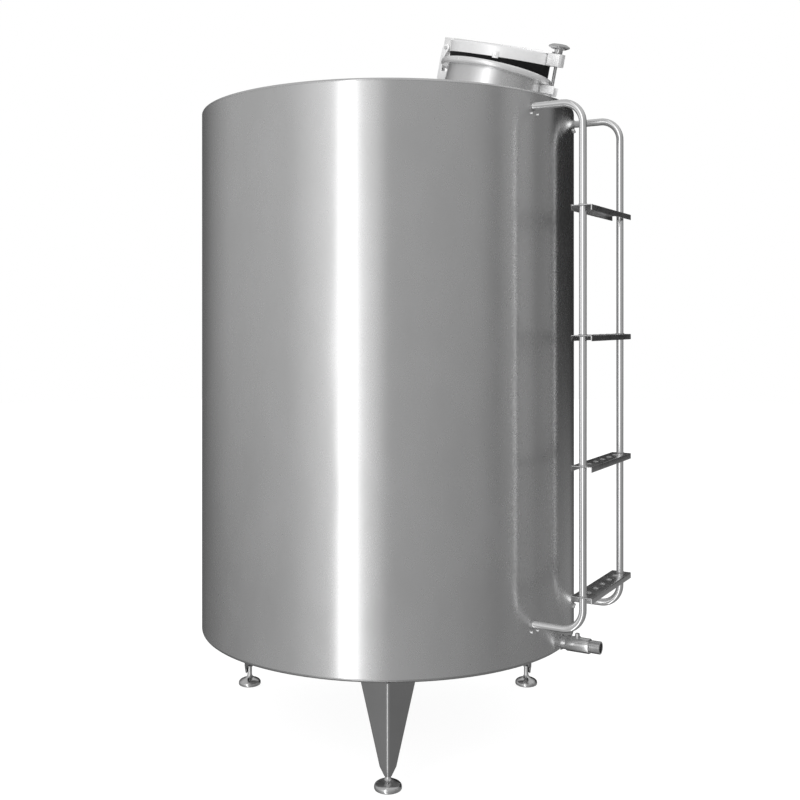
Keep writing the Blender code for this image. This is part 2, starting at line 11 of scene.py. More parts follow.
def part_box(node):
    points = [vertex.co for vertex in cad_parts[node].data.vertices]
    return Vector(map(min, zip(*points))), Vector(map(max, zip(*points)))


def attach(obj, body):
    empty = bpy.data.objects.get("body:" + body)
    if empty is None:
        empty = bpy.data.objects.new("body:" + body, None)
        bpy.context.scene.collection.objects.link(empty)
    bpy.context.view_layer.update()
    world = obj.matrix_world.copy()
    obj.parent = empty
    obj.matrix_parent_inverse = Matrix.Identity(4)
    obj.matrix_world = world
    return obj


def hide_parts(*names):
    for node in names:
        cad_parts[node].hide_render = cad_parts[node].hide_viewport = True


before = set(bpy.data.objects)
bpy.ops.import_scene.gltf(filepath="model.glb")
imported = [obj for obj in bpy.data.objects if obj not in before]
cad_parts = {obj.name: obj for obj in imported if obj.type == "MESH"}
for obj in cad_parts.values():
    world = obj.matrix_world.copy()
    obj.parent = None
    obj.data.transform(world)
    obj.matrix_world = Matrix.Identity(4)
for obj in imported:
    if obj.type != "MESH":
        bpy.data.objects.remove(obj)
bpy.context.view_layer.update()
random.seed(7)

# Stage: a pale floor in front of a white room. What the polished steel mirrors is a plain studio,
# one tall soft strip at the left behind the camera, grey walls and a dark doorway at the right.
scene = bpy.context.scene
axis_x = sum(corner[0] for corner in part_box("bottom_plate")) / 2
scene.view_settings.view_transform = "Standard"

# The camera of the photograph, in its pixels: its side, its focal length, and the column and the row
# of the point that it looks straight at
photo_side, focal_length, straight_column, straight_row = 800, 1070, 388, 320
camera_away, camera_height = 3.45, 1.269
camera_data = bpy.data.cameras.new("camera")
camera_data.sensor_width = 36
camera_data.lens = focal_length * camera_data.sensor_width / photo_side
camera_data.shift_x = 0.5 - straight_column / photo_side
camera_data.shift_y = straight_row / photo_side - 0.5
camera = bpy.data.objects.new("camera", camera_data)
camera.location = (axis_x, -camera_away, camera_height)
camera.rotation_euler = (math.radians(90), 0, 0)
scene.collection.objects.link(camera)
scene.camera = camera

world = bpy.data.worlds.new("studio")
world.use_nodes = True
scene.world = world
nodes, links = world.node_tree.nodes, world.node_tree.links
nodes.clear()
direction = nodes.new("ShaderNodeTexCoord")
split = nodes.new("ShaderNodeSeparateXYZ")
links.new(direction.outputs["Generated"], split.inputs[0])
flipped = nodes.new("ShaderNodeMath")
flipped.operation = "MULTIPLY"
flipped.inputs[1].default_value = -1
links.new(split.outputs["Y"], flipped.inputs[0])
azimuth = nodes.new("ShaderNodeMath")
azimuth.operation = "ARCTAN2"
links.new(split.outputs["X"], azimuth.inputs[0])
links.new(flipped.outputs[0], azimuth.inputs[1])
place = nodes.new("ShaderNodeMapRange")
place.inputs["From Min"].default_value = -math.pi
place.inputs["From Max"].default_value = math.pi
links.new(azimuth.outputs[0], place.inputs["Value"])


def bands(stops):
    """A ramp of grey over the azimuth, in degrees from the camera's side."""
    ramp = nodes.new("ShaderNodeValToRGB")
    while len(ramp.color_ramp.elements) > 1:
        ramp.color_ramp.elements.remove(ramp.color_ramp.elements[0])
    for i, (degrees, value) in enumerate(stops):
        position = 0.5 + degrees / 360
        item = ramp.color_ramp.elements[0] if i == 0 else ramp.color_ramp.elements.new(position)
        item.position = position
        item.color = (value, value, value, 1)
    links.new(place.outputs["Result"], ramp.inputs["Fac"])
    return ramp


# The room from left to right: dark behind the tank, a pale wall, the strip, a grey wall, a dark
# curtain, a pale panel and the doorway. Near the floor all of it is duller.
upper = bands([
    (-180, 0.05), (-145, 0.15), (-110, 0.42), (-60, 0.52), (-30, 1.0), (-18, 1.0), (-6, 0.72), (0, 0.40),
    (55, 0.33), (68, 0.20), (76, 0.33), (92, 0.30), (99, 0.18), (114, 0.24), (118, 0.02), (180, 0.02),
])
lower = bands([
    (-180, 0.05), (-120, 0.20), (-60, 0.36), (-34, 0.52), (-25, 1.0), (-18, 1.0), (-12, 0.62), (0, 0.36),
    (60, 0.22), (100, 0.20), (146, 0.26), (160, 0.06), (180, 0.05),
])
strip = bands([(-29, 0.0), (-27, 1.0), (-20, 1.0), (-18, 0.0)])
strip_glow = 1.2  # the strip's light over that of a white wall


def by_height(low, high):
    """A soft step from 0 to 1 as the mirrored direction rises from low to high."""
    step = nodes.new("ShaderNodeMapRange")
    step.interpolation_type = "SMOOTHSTEP"
    step.inputs["From Min"].default_value = low
    step.inputs["From Max"].default_value = high
    links.new(split.outputs["Z"], step.inputs["Value"])
    return step.outputs["Result"]


def blended(amount, one, two):
    """Two colours mixed, each a socket or a value."""
    mix = nodes.new("ShaderNodeMix")
    mix.data_type = "RGBA"
    links.new(amount, mix.inputs["Factor"])
    for socket, value in ((mix.inputs["A"], one), (mix.inputs["B"], two)):
        if isinstance(value, tuple):
            socket.default_value = value
        else:
            links.new(value, socket)
    return mix.outputs["Result"]


room = blended(by_height(-0.22, -0.02), lower.outputs["Color"], upper.outputs["Color"])
ceiling = (0.50, 0.50, 0.50, 1)
room = blended(by_height(0.25, 0.75), room, ceiling)
lift = nodes.new("ShaderNodeMath")
lift.operation = "MULTIPLY_ADD"
lift.inputs[1].default_value = strip_glow
lift.inputs[2].default_value = 1.0
links.new(strip.outputs["Color"], lift.inputs[0])
mirrored = nodes.new("ShaderNodeBackground")
links.new(room, mirrored.inputs["Color"])
links.new(lift.outputs[0], mirrored.inputs["Strength"])
plain = nodes.new("ShaderNodeBackground")
plain.inputs["Color"].default_value = (1, 1, 1, 1)
plain.inputs["Strength"].default_value = 1.0
ray = nodes.new("ShaderNodeLightPath")
choose = nodes.new("ShaderNodeMixShader")
links.new(ray.outputs["Is Glossy Ray"], choose.inputs["Fac"])
links.new(plain.outputs[0], choose.inputs[1])
links.new(mirrored.outputs[0], choose.inputs[2])
shown = nodes.new("ShaderNodeOutputWorld")
links.new(choose.outputs[0], shown.inputs["Surface"])

# The floor is lit from itself, so that it stays near white with a faint shadow.
bm = bmesh.new()
bmesh.ops.create_circle(bm, cap_ends=True, radius=14, segments=64)
floor_mesh = bpy.data.meshes.new("floor")
bm.to_mesh(floor_mesh)
bm.free()
floor = bpy.data.objects.new("floor", floor_mesh)
floor.location = (axis_x, 0, 0)
scene.collection.objects.link(floor)
floor_paint = bpy.data.materials.new("floor_paint")
floor_paint.use_nodes = True
floor_shader = floor_paint.node_tree.nodes["Principled BSDF"]
floor_shader.inputs["Base Color"].default_value = (0.22, 0.22, 0.22, 1)
floor_shader.inputs["Roughness"].default_value = 0.9
floor_shader.inputs["Specular IOR Level"].default_value = 0.0
floor_shader.inputs["Emission Color"].default_value = (1, 1, 1, 1)
floor_shader.inputs["Emission Strength"].default_value = 0.90
floor_mesh.materials.append(floor_paint)
floor.visible_glossy = False

# One soft light high at the left of the camera
key_data = bpy.data.lights.new("soft_key", "AREA")
key_data.shape = "RECTANGLE"
key_data.size, key_data.size_y = 1.6, 2.4
key_data.energy = 40
key = bpy.data.objects.new("soft_key", key_data)
key.location = (axis_x - 2.4, -3.6, 3.2)
key.rotation_euler = (Vector((axis_x, 0, 1.1)) - key.location).to_track_quat("-Z", "Y").to_euler()
key.visible_camera = False
key.visible_glossy = False
scene.collection.objects.link(key)

# Shell: one smooth rolled sheet between the bottom and the roof's rounded rim. It has faint
# upright flats and a shallow dent or two, so that the mirrored strip wavers as it does on thin sheet.
wall_radius = (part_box("bottom_plate")[1][0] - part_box("bottom_plate")[0][0]) / 2
wall_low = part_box("bottom_plate")[1][2]
wall_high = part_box("shell_wall_1")[1][2]
TANK = Matrix.Translation((axis_x, 0, 0))
thickness, skin = 0.003, 0.0002  # the sheet, and how far its new skin stays inside the CAD's
steps_round, rows = 288, 60


def swept(rings, closed_path=False):
    """A closed skin through rings with the same number of points, with a cap on each end."""
    bm = bmesh.new()
    loops = [[bm.verts.new(p) for p in ring] for ring in rings]
    if not closed_path:
        bm.faces.new(loops[0])
        bm.faces.new(loops[-1])
    following = loops[1:] + (loops[:1] if closed_path else [])
    for one, two in zip(loops, following):
        for i in range(len(one)):
            bm.faces.new((one[i - 1], one[i], two[i], two[i - 1]))
    return bm


def solid(name, bm, material, body, place=None, sharp=35, *, slot):
    """Makes a piece of the object from a bmesh, in place, riding on its body."""
    bmesh.ops.remove_doubles(bm, verts=bm.verts, dist=2e-6)
    bmesh.ops.recalc_face_normals(bm, faces=bm.faces)
    if place is not None:
        bm.transform(place)
    mesh = bpy.data.meshes.new(name)
    bm.to_mesh(mesh)
    bm.free()
    mesh.shade_smooth()
    mesh.set_sharp_from_angle(angle=math.radians(sharp))
    piece = bpy.data.objects.new(name, mesh)
    scene.collection.objects.link(piece)
    mesh.materials.append(material)
    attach(piece, body)
    return piece


def group(name, inputs, outputs):
    """A node group with its sockets, returned with its input and output nodes."""
    made = bpy.data.node_groups.new(name, "ShaderNodeTree")
    for label, kind, value in inputs:
        socket = made.interface.new_socket(name=label, in_out="INPUT", socket_type=kind)
        if value is not None:
            socket.default_value = value
    for label, kind in outputs:
        made.interface.new_socket(name=label, in_out="OUTPUT", socket_type=kind)
    entry = made.nodes.new("NodeGroupInput")
    leave = made.nodes.new("NodeGroupOutput")
    return made, entry, leave


def math_node(tree, operation, *values):
    """The result of a math node, whose inputs are numbers or sockets."""
    node = tree.nodes.new("ShaderNodeMath")
    node.operation = operation
    for i, value in enumerate(values):
        if isinstance(value, (int, float)):
            node.inputs[i].default_value = value
        else:
            tree.links.new(value, node.inputs[i])
    return node.outputs[0]


def noise_node(tree, vector, scale, detail, roughness=0.55):
    node = tree.nodes.new("ShaderNodeTexNoise")
    node.inputs["Scale"].default_value = scale
    node.inputs["Detail"].default_value = detail
    node.inputs["Roughness"].default_value = roughness
    tree.links.new(vector, node.inputs["Vector"])
    return node.outputs["Fac"]


# Steel grain: fine polishing lines drawn out by Stretch, soft cloudy marks and a few wipe marks.
# Tone lightens or darkens, Gloss adds to the roughness, Height is for the bump.
grain, entry, leave = group(
    "steel_grain",
    [("Vector", "NodeSocketVector", None), ("Stretch", "NodeSocketVector", (1, 1, 1))],
    [("Tone", "NodeSocketFloat"), ("Gloss", "NodeSocketFloat"), ("Height", "NodeSocketFloat")],
)
drawn = grain.nodes.new("ShaderNodeVectorMath")
drawn.operation = "MULTIPLY"
grain.links.new(entry.outputs["Vector"], drawn.inputs[0])
grain.links.new(entry.outputs["Stretch"], drawn.inputs[1])
lines = noise_node(grain, drawn.outputs[0], 90, 4)
hair = noise_node(grain, drawn.outputs[0], 420, 2)
cloud = noise_node(grain, entry.outputs["Vector"], 5, 3)
wipe = noise_node(grain, entry.outputs["Vector"], 26, 4, 0.7)
fine = math_node(grain, "MULTIPLY_ADD", hair, 0.4, math_node(grain, "MULTIPLY", lines, 0.6))
half_cloud = math_node(grain, "MULTIPLY", cloud, 0.5)
for label, marks in (("Tone", fine), ("Gloss", wipe)):
    mixed = math_node(grain, "ADD", math_node(grain, "MULTIPLY", marks, 0.5), half_cloud)
    grain.links.new(mixed, leave.inputs[label])
grain.links.new(fine, leave.inputs["Height"])

# Round coordinates: a point's way round the piece's own axis, its distance from it and its height.
round_place, entry, leave = group(
    "round_place",
    [("Vector", "NodeSocketVector", None), ("Centre", "NodeSocketVector", (0, 0, 0))],
    [("Vector", "NodeSocketVector"), ("Radius", "NodeSocketFloat"), ("Height", "NodeSocketFloat")],
)
moved = round_place.nodes.new("ShaderNodeVectorMath")
moved.operation = "SUBTRACT"
round_place.links.new(entry.outputs["Vector"], moved.inputs[0])
round_place.links.new(entry.outputs["Centre"], moved.inputs[1])
parts = round_place.nodes.new("ShaderNodeSeparateXYZ")
round_place.links.new(moved.outputs[0], parts.inputs[0])
turn = math_node(round_place, "ARCTAN2", parts.outputs["Y"], parts.outputs["X"])
squares = [math_node(round_place, "MULTIPLY", parts.outputs[a], parts.outputs[a]) for a in "XY"]
away = math_node(round_place, "SQRT", math_node(round_place, "ADD", *squares))
whole = round_place.nodes.new("ShaderNodeCombineXYZ")
round_place.links.new(turn, whole.inputs["X"])
round_place.links.new(away, whole.inputs["Y"])
round_place.links.new(parts.outputs["Z"], whole.inputs["Z"])
round_place.links.new(whole.outputs[0], leave.inputs["Vector"])
round_place.links.new(away, leave.inputs["Radius"])
round_place.links.new(parts.outputs["Z"], leave.inputs["Height"])


def metal(name, light, dark, gloss, stretch, bump, centre=None, shine=1.0):
    """A polished steel: grain from the shared group between a dark and a light tone, with its own
    gloss range. With a centre, the grain runs round that vertical axis. Less shine is a satin finish."""
    material = bpy.data.materials.new(name)
    material.use_nodes = True
    tree = material.node_tree
    shader = tree.nodes["Principled BSDF"]
    shader.inputs["Metallic"].default_value = shine
    place = tree.nodes.new("ShaderNodeTexCoord").outputs["Object"]
    if centre is not None:
        wrap = tree.nodes.new("ShaderNodeGroup")
        wrap.node_tree = round_place
        wrap.inputs["Centre"].default_value = centre
        tree.links.new(place, wrap.inputs["Vector"])
        place = wrap.outputs["Vector"]
    marks = tree.nodes.new("ShaderNodeGroup")
    marks.node_tree = grain
    marks.inputs["Stretch"].default_value = stretch
    tree.links.new(place, marks.inputs["Vector"])
    ramp = tree.nodes.new("ShaderNodeValToRGB")
    ramp.color_ramp.elements[0].position = 0.34
    ramp.color_ramp.elements[0].color = (dark, dark, dark, 1)
    ramp.color_ramp.elements[1].position = 0.66
    ramp.color_ramp.elements[1].color = (light, light, light * 1.005, 1)
    tree.links.new(marks.outputs["Tone"], ramp.inputs["Fac"])
    tree.links.new(ramp.outputs["Color"], shader.inputs["Base Color"])
    spread = tree.nodes.new("ShaderNodeMapRange")
    spread.inputs["From Min"].default_value = 0.3
    spread.inputs["From Max"].default_value = 0.7
    spread.inputs["To Min"].default_value = gloss[0]
    spread.inputs["To Max"].default_value = gloss[1]
    tree.links.new(marks.outputs["Gloss"], spread.inputs["Value"])
    tree.links.new(spread.outputs["Result"], shader.inputs["Roughness"])
    relief = tree.nodes.new("ShaderNodeBump")
    relief.inputs["Strength"].default_value = bump
    relief.inputs["Distance"].default_value = 0.0004
    tree.links.new(marks.outputs["Height"], relief.inputs["Height"])
    tree.links.new(relief.outputs["Normal"], shader.inputs["Normal"])
    return material


shell_steel = metal("shell_steel", 0.84, 0.76, (0.24, 0.30), (30, 1, 0.6), 0.02, (axis_x, 0, 0))
shell_shader = shell_steel.node_tree.nodes["Principled BSDF"]
shell_shader.inputs["Anisotropic"].default_value = 0.9
shell_shader.inputs["Anisotropic Rotation"].default_value = 0.25


def waver(angle, z):
    """How far the sheet stands in or out of true at a place on the wall, in metres."""
    flats = 0.00010 * math.sin(9 * angle + 0.6 * math.sin(2.1 * z))
    flats += 0.00006 * math.sin(23 * angle + 1.3)
    way_up = (z - wall_low) / (wall_high - wall_low)
    slow = 0.00012 * math.sin(3 * z + 4 * angle) * math.sin(math.pi * way_up)
    dents = 0.0
    for at_angle, at_z, wide, tall, deep in (
        (-1.80, 1.20, 0.05, 0.10, 0.0005),
        (-1.86, 0.80, 0.04, 0.06, 0.0004),
    ):
        dents -= deep * math.exp(-(((angle - at_angle) / wide) ** 2) - ((z - at_z) / tall) ** 2)
    return flats + slow + dents


outer_rings, inner_rings = [], []
for j in range(rows + 1):
    z = wall_low + (wall_high - wall_low) * j / rows
    outer, inner = [], []
    for i in range(steps_round):
        a = 2 * math.pi * i / steps_round - math.pi
        r = wall_radius - skin + (waver(a, z) if 0 < j < rows else 0)
        outer.append((r * math.cos(a), r * math.sin(a), z))
        inner.append(((r - thickness) * math.cos(a), (r - thickness) * math.sin(a), z))
    outer_rings.append(outer)
    inner_rings.append(inner)
bm = swept(outer_rings + inner_rings[::-1], closed_path=True)
shell = solid("shell_skin", bm, shell_steel, "tank", TANK, slot="shell_sheet")
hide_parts(*[f"shell_wall_{i}" for i in range(1, 9)])

# Roof: a shallow cone with a rounded rim, polished to a grain that runs round the tank, open where
# the neck stands. Its wall is turned again with a smooth rim, and cut by the neck's own circle.
ROOF_SLOPE, WALL_TOP, knuckle = math.radians(12), 1.917, 0.008
NECK_RADIUS, NECK_TOP = 0.146, 0.057


def tilted(origin, tilt, tilt_azimuth, forward_azimuth):
    """A frame whose Z leans by tilt towards tilt_azimuth, and whose X heads for forward_azimuth."""
    lean, heading, ahead = (math.radians(a) for a in (tilt, tilt_azimuth, forward_azimuth))
    z_axis = Vector((math.sin(lean) * math.cos(heading), math.sin(lean) * math.sin(heading), math.cos(lean)))
    y_axis = z_axis.cross(Vector((math.cos(ahead), math.sin(ahead), 0))).normalized()
    turn = Matrix((y_axis.cross(z_axis), y_axis, z_axis)).transposed().to_4x4()
    return Matrix.Translation(origin) @ turn


neck_away, neck_heading = 0.404, math.radians(-39.4)
neck_foot = Vector((
    neck_away * math.cos(neck_heading),
    neck_away * math.sin(neck_heading),
    WALL_TOP + (wall_radius - neck_away) * math.tan(ROOF_SLOPE),
))
NECK = TANK @ tilted(neck_foot, 14.4, -22, -28)


def lathe(profile, steps=96, closed=True):
    """Turns a (radius, height) profile round Z. Points on the axis become one point."""
    bm = bmesh.new()
    rings = []
    for r, z in profile:
        if r == 0:
            rings.append([bm.verts.new((0, 0, z))] * steps)
        else:
            angles = [2 * math.pi * i / steps for i in range(steps)]
            rings.append([bm.verts.new((r * math.cos(a), r * math.sin(a), z)) for a in angles])
    pairs = list(zip(rings, rings[1:]))
    if closed and profile[0][0] and profile[-1][0]:
        pairs.append((rings[-1], rings[0]))
    for one, two in pairs:
        for i in range(steps):
            corners = list(dict.fromkeys((one[i - 1], one[i], two[i], two[i - 1])))
            if len(corners) > 2:
                bm.faces.new(corners)
    return bm


def curve(centre, radius, first, last, steps):
    """Points of an arc in a (radius, height) profile, angles in degrees."""
    angles = [math.radians(first + (last - first) * i / steps) for i in range(steps + 1)]
    return [(centre[0] + radius * math.cos(a), centre[1] + radius * math.sin(a)) for a in angles]


roof_steel = metal("roof_steel", 0.84, 0.74, (0.12, 0.22), (30, 1, 1), 0.02, (axis_x, 0, 0))
knuckle_height = WALL_TOP - knuckle * math.tan((math.pi / 2 - ROOF_SLOPE) / 2)
peak = WALL_TOP + wall_radius * math.tan(ROOF_SLOPE)
profile = [(0, peak)]
rim_end = 90 - math.degrees(ROOF_SLOPE)
profile += curve((wall_radius - knuckle, knuckle_height), knuckle - skin, rim_end, 0, 10)
profile += curve((wall_radius - knuckle, knuckle_height), knuckle - thickness, 0, rim_end, 6)
profile += [(0, peak - thickness / math.cos(ROOF_SLOPE))]
roof = solid("roof_skin", lathe(profile, 144), roof_steel, "tank", TANK, slot="roof_sheet")
hole = bpy.data.objects.new("roof_hole", bpy.data.meshes.new("roof_hole"))
hole_radius = NECK_RADIUS - 0.0001
bm = lathe([(0, -0.15), (hole_radius, -0.15), (hole_radius, 0.15), (0, 0.15)], 96)
bmesh.ops.recalc_face_normals(bm, faces=bm.faces)
bm.transform(NECK)
bm.to_mesh(hole.data)
bm.free()
scene.collection.objects.link(hole)
cut = roof.modifiers.new("neck_hole", "BOOLEAN")
cut.operation, cut.solver, cut.object = "DIFFERENCE", "EXACT", hole
bpy.context.view_layer.update()
opened = bpy.data.meshes.new_from_object(roof.evaluated_get(bpy.context.evaluated_depsgraph_get()))
roof.modifiers.clear()
roof.data = opened
roof.data.set_sharp_from_angle(angle=math.radians(35))
bpy.data.objects.remove(hole, do_unlink=True)
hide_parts("roof")

# Bottom: the flat floor plate with its turned-up edge, duller than the wall and smudged underneath.
bottom_steel = metal("bottom_steel", 0.66, 0.52, (0.25, 0.42), (8, 8, 1), 0.06)
turned_up = 0.010
turn_centre = (wall_radius - turned_up, wall_low)
profile = [(0, wall_low - turned_up)] + curve(turn_centre, turned_up - skin, -90, 0, 6)
profile += curve(turn_centre, turned_up - thickness, 0, -90, 4)
profile += [(0, wall_low - turned_up + thickness)]
bottom = solid("bottom_skin", lathe(profile, 144), bottom_steel, "tank", TANK, slot="bottom_sheet")
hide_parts("bottom_plate")

# Ladder rails: two bent polished tubes, welded to the wall at both ends. Their sections follow a
# path of arcs, and the open ends run just into the wall.
rail_steel = metal("rail_steel", 1.0, 0.90, (0.06, 0.11), (1, 1, 1), 0.01)
rail_plane, rail_half, rail_radius, rail_bend = 0.715, 0.1635, 0.0105, 0.060
rail_low, rail_high = 0.409, 1.873
LADDER_AZIMUTH = -30


def around(azimuth):
    """A turn round Z that takes X to an azimuth, in degrees."""
    return Matrix.Rotation(math.radians(azimuth), 4, "Z")


LADDER = TANK @ around(LADDER_AZIMUTH)


def rail_path(offset, sides=28, bend_steps=14):
    """Rings along a rail, in the ladder's frame."""
    foot = math.sqrt((wall_radius - 0.004) ** 2 - offset ** 2)
    reach = rail_plane - rail_bend
    stations = [(foot, rail_low, 0.0), (foot + 0.03, rail_low, 0.0)]
    for centre, first in ((rail_low + rail_bend, 0.0), (rail_high - rail_bend, 90.0)):
        for i in range(bend_steps + 1):
            heading = math.radians(first + 90 * i / bend_steps)
            x = reach + rail_bend * math.sin(heading)
            stations.append((x, centre - rail_bend * math.cos(heading), heading))
    stations += [(foot + 0.03, rail_high, math.pi), (foot, rail_high, math.pi)]
    rings = []
    for x, z, heading in stations:
        ring = []
        for i in range(sides):
            b = 2 * math.pi * i / sides
            lift = rail_radius * math.sin(b)
            across = offset + rail_radius * math.cos(b)
            ring.append((x - lift * math.sin(heading), across, z + lift * math.cos(heading)))
        rings.append(ring)
    return rings


for name, offset in (("ladder_rail_left", -rail_half), ("ladder_rail_right", rail_half)):
    rail = solid(name + "_tube", swept(rail_path(offset)), rail_steel, "tank", LADDER, slot="rail_tube")
    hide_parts(name)

# Where each arm meets the wall: a small rounded weld bead, slightly scalloped, round the tube, and a
# pair of small polished studs under it.
bead_steel = metal("bead_steel", 0.72, 0.42, (0.24, 0.45), (1, 1, 1), 0.35)


def bead(path, thickness, closed=True, sides=8):
    """A scalloped weld bead along a list of points."""
    rings = []
    count = len(path)
    for i, point in enumerate(path):
        before = path[i - 1] if closed or i else point
        after = path[(i + 1) % count] if closed or i < count - 1 else point
        along = (after - before).normalized()
        side = along.orthogonal().normalized()
        up = along.cross(side)
        size = thickness * (1 + 0.16 * math.sin(i * 2.1) + random.uniform(-0.06, 0.06))
        angles = [2 * math.pi * k / sides for k in range(sides)]
        rings.append([point + size * (math.cos(a) * side + math.sin(a) * up) for a in angles])
    return swept(rings, closed_path=closed)


def joined(*parts):
    """Several bmeshes as one."""
    whole = bmesh.new()
    for part in parts:
        mesh = bpy.data.meshes.new("part")
        part.to_mesh(mesh)
        part.free()
        whole.from_mesh(mesh)
        bpy.data.meshes.remove(mesh)
    return whole


beads, studs = [], []
stud_shape = [(0, 0.0075), (0.0022, 0.007), (0.0038, 0.0052), (0.0043, 0.0028), (0.0043, 0), (0, 0)]
for offset in (-rail_half, rail_half):
    for height in (rail_low, rail_high):
        ring = []
        for i in range(36):
            b = 2 * math.pi * i / 36
            y = offset + (rail_radius + 0.0008) * math.cos(b)
            z = height + (rail_radius + 0.0008) * math.sin(b)
            ring.append(Vector((math.sqrt(wall_radius ** 2 - y * y) + 0.0006, y, z)))
        beads.append(bead(ring, 0.0024))
        for step in (-0.015, 0.015):
            away = math.atan2(offset + step, wall_radius)
            stud = lathe(stud_shape, 20)
            lie = Matrix.Rotation(math.pi / 2, 4, "Y")
            under = Matrix.Translation((wall_radius - 0.0008, 0, height - 0.021))
            stud.transform(Matrix.Rotation(away, 4, "Z") @ under @ lie)
            studs.append(stud)
solid("ladder_beads", joined(*beads), bead_steel, "tank", LADDER, slot="rail_tube")
stud_steel = metal("stud_steel", 0.92, 0.80, (0.08, 0.16), (1, 1, 1), 0.02)
solid("ladder_studs", joined(*studs), stud_steel, "tank", LADDER, slot="rail_tube")

# Ladder rungs: stainless sheet folded down along both long edges, with its four corners cut off, a row
# of large raised grip holes with small ones staggered beside them, and round holes for the rails.
rung_steel = metal("rung_steel", 0.78, 0.58, (0.20, 0.34), (1, 6, 1), 0.08)
rung_half, rung_reach, rung_clip = 0.030, rail_half + 0.026, 0.014
rung_depth, rung_bend, rung_sheet = 0.016, 0.0022, 0.0022
rung_heights = (0.507, 0.867, 1.227, 1.587)
hole_pitch, large_radius, small_radius = 0.058, 0.0052, 0.0024
large_holes = [(0.0, hole_pitch * i) for i in range(-2, 3)]
small_holes = [(x, hole_pitch * (i + 0.5)) for i in range(-2, 2) for x in (-0.012, 0.012)]


def rung_end(x):
    """How far the tread reaches along the ladder's width, at a distance across it."""
    return rung_reach - max(0.0, abs(x) + rung_clip - rung_half)


def rung_shape():
    """One rung round the origin, with the top of its tread at height 0."""
    arc_out = [math.radians(90 * i / 4) for i in range(5)]
    outline = [(-rung_half, -rung_depth)]
    outline += [
        (-rung_half + rung_bend * (1 - math.cos(a)), -rung_bend * (1 - math.sin(a))) for a in arc_out
    ]
    outline += [
        (rung_half - rung_bend * (1 - math.cos(a)), -rung_bend * (1 - math.sin(a))) for a in arc_out[::-1]
    ]
    outline += [(rung_half, -rung_depth), (rung_half - rung_sheet, -rung_depth)]
    outline += [(rung_half - rung_sheet, -rung_sheet), (rung_sheet - rung_half, -rung_sheet)]
    outline += [(rung_sheet - rung_half, -rung_depth)]
    return swept([[(x, side * rung_end(x), z) for x, z in outline] for side in (-1, 1)])


def punched(bm, tools, name):
    """Cuts a set of holes out of a bmesh and gives the result as a new one."""
    pieces = []
    for label, source in ((name, bm), (name + "_holes", tools)):
        bmesh.ops.recalc_face_normals(source, faces=source.faces)
        mesh = bpy.data.meshes.new(label)
        source.to_mesh(mesh)
        source.free()
        piece = bpy.data.objects.new(label, mesh)
        scene.collection.objects.link(piece)
        pieces.append(piece)
    body, holes = pieces
    cut = body.modifiers.new("holes", "BOOLEAN")
    cut.operation, cut.solver, cut.object = "DIFFERENCE", "EXACT", holes
    bpy.context.view_layer.update()
    result = bpy.data.meshes.new_from_object(body.evaluated_get(bpy.context.evaluated_depsgraph_get()))
    after = bmesh.new()
    after.from_mesh(result)
    bpy.data.meshes.remove(result)
    for piece in pieces:
        bpy.data.objects.remove(piece, do_unlink=True)
    return after


def punch(radius, x, y, steps, low=-0.03, high=0.03):
    """An upright round tool for cutting a hole."""
    tool = lathe([(0, low), (radius, low), (radius, high), (0, high)], steps)
    tool.transform(Matrix.Translation((x, y, 0)))
    return tool


holes = [punch(large_radius, x, y, 20) for x, y in large_holes]
holes += [punch(small_radius, x, y, 12) for x, y in small_holes]
holes += [punch(rail_radius + 0.0003, 0, y, 32) for y in (-rail_half, rail_half)]
tread = punched(rung_shape(), joined(*holes), "rung")
lip = [(large_radius, -0.0004), (0.0092, -0.0004), (0.0092, 0), (0.0078, 0.0011)]
lip += [(0.0064, 0.0016), (large_radius, 0.0011)]
lips = [lathe(lip, 24) for _ in large_holes]
for ring, (x, y) in zip(lips, large_holes):
    ring.transform(Matrix.Translation((x, y, 0)))
tread = joined(tread, *lips)
for number, height in enumerate(rung_heights, 1):
    place = LADDER @ Matrix.Translation((rail_plane, 0, height - 0.0001))
    rung = solid(f"ladder_rung_{number}_sheet", tread.copy(), rung_steel, "tank", place, slot="rung_sheet")
    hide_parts(f"ladder_rung_{number}")
tread.free()

# A dressed bead of weld closes the gap between each rail and the tread it passes through.
collars = []
for height in rung_heights:
    for side in (-rail_half, rail_half):
        for lift in (0.0008, -0.0030):
            angles = [2 * math.pi * i / 30 for i in range(30)]
            radius = rail_radius + 0.0006
            ring = [
                Vector((rail_plane + radius * math.cos(a), side + radius * math.sin(a), height + lift))
                for a in angles
            ]
            collars.append(bead(ring, 0.0019))
solid("rung_beads", joined(*collars), bead_steel, "tank", LADDER, slot="rung_sheet")

# Manhole neck: a short rolled tube welded into the roof, with a thick rolled rim on its mouth.
neck_steel = metal("neck_steel", 0.95, 0.84, (0.24, 0.34), (1, 1, 6), 0.02, shine=0.96)
neck_low = -0.025
tube_wall = [(NECK_RADIUS - thickness, neck_low), (NECK_RADIUS - skin, neck_low)]
tube_wall += [(NECK_RADIUS - skin, NECK_TOP), (NECK_RADIUS - thickness, NECK_TOP)]
neck = solid("manhole_tube", lathe(tube_wall, 120), neck_steel, "tank", NECK, slot="neck_sheet")
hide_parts("manhole_neck")
rim_radius, rim_low, rim_roll = 0.1685, NECK_TOP - 0.019, 0.0076
profile = [(NECK_RADIUS + 0.0003, rim_low)]
profile += curve((rim_radius - rim_roll, rim_low + rim_roll), rim_roll - 0.0001, -90, 0, 8)
profile += curve((rim_radius - rim_roll, NECK_TOP - rim_roll), rim_roll - 0.0001, 0, 90, 8)
profile += [(NECK_RADIUS + 0.0003, NECK_TOP - 0.0001)]
rim_steel = metal("rim_steel", 0.95, 0.86, (0.18, 0.30), (1, 1, 1), 0.03, shine=0.65)
rim = solid("manhole_ring", lathe(profile, 120), rim_steel, "tank", NECK, slot="neck_sheet")
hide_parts("manhole_rim")

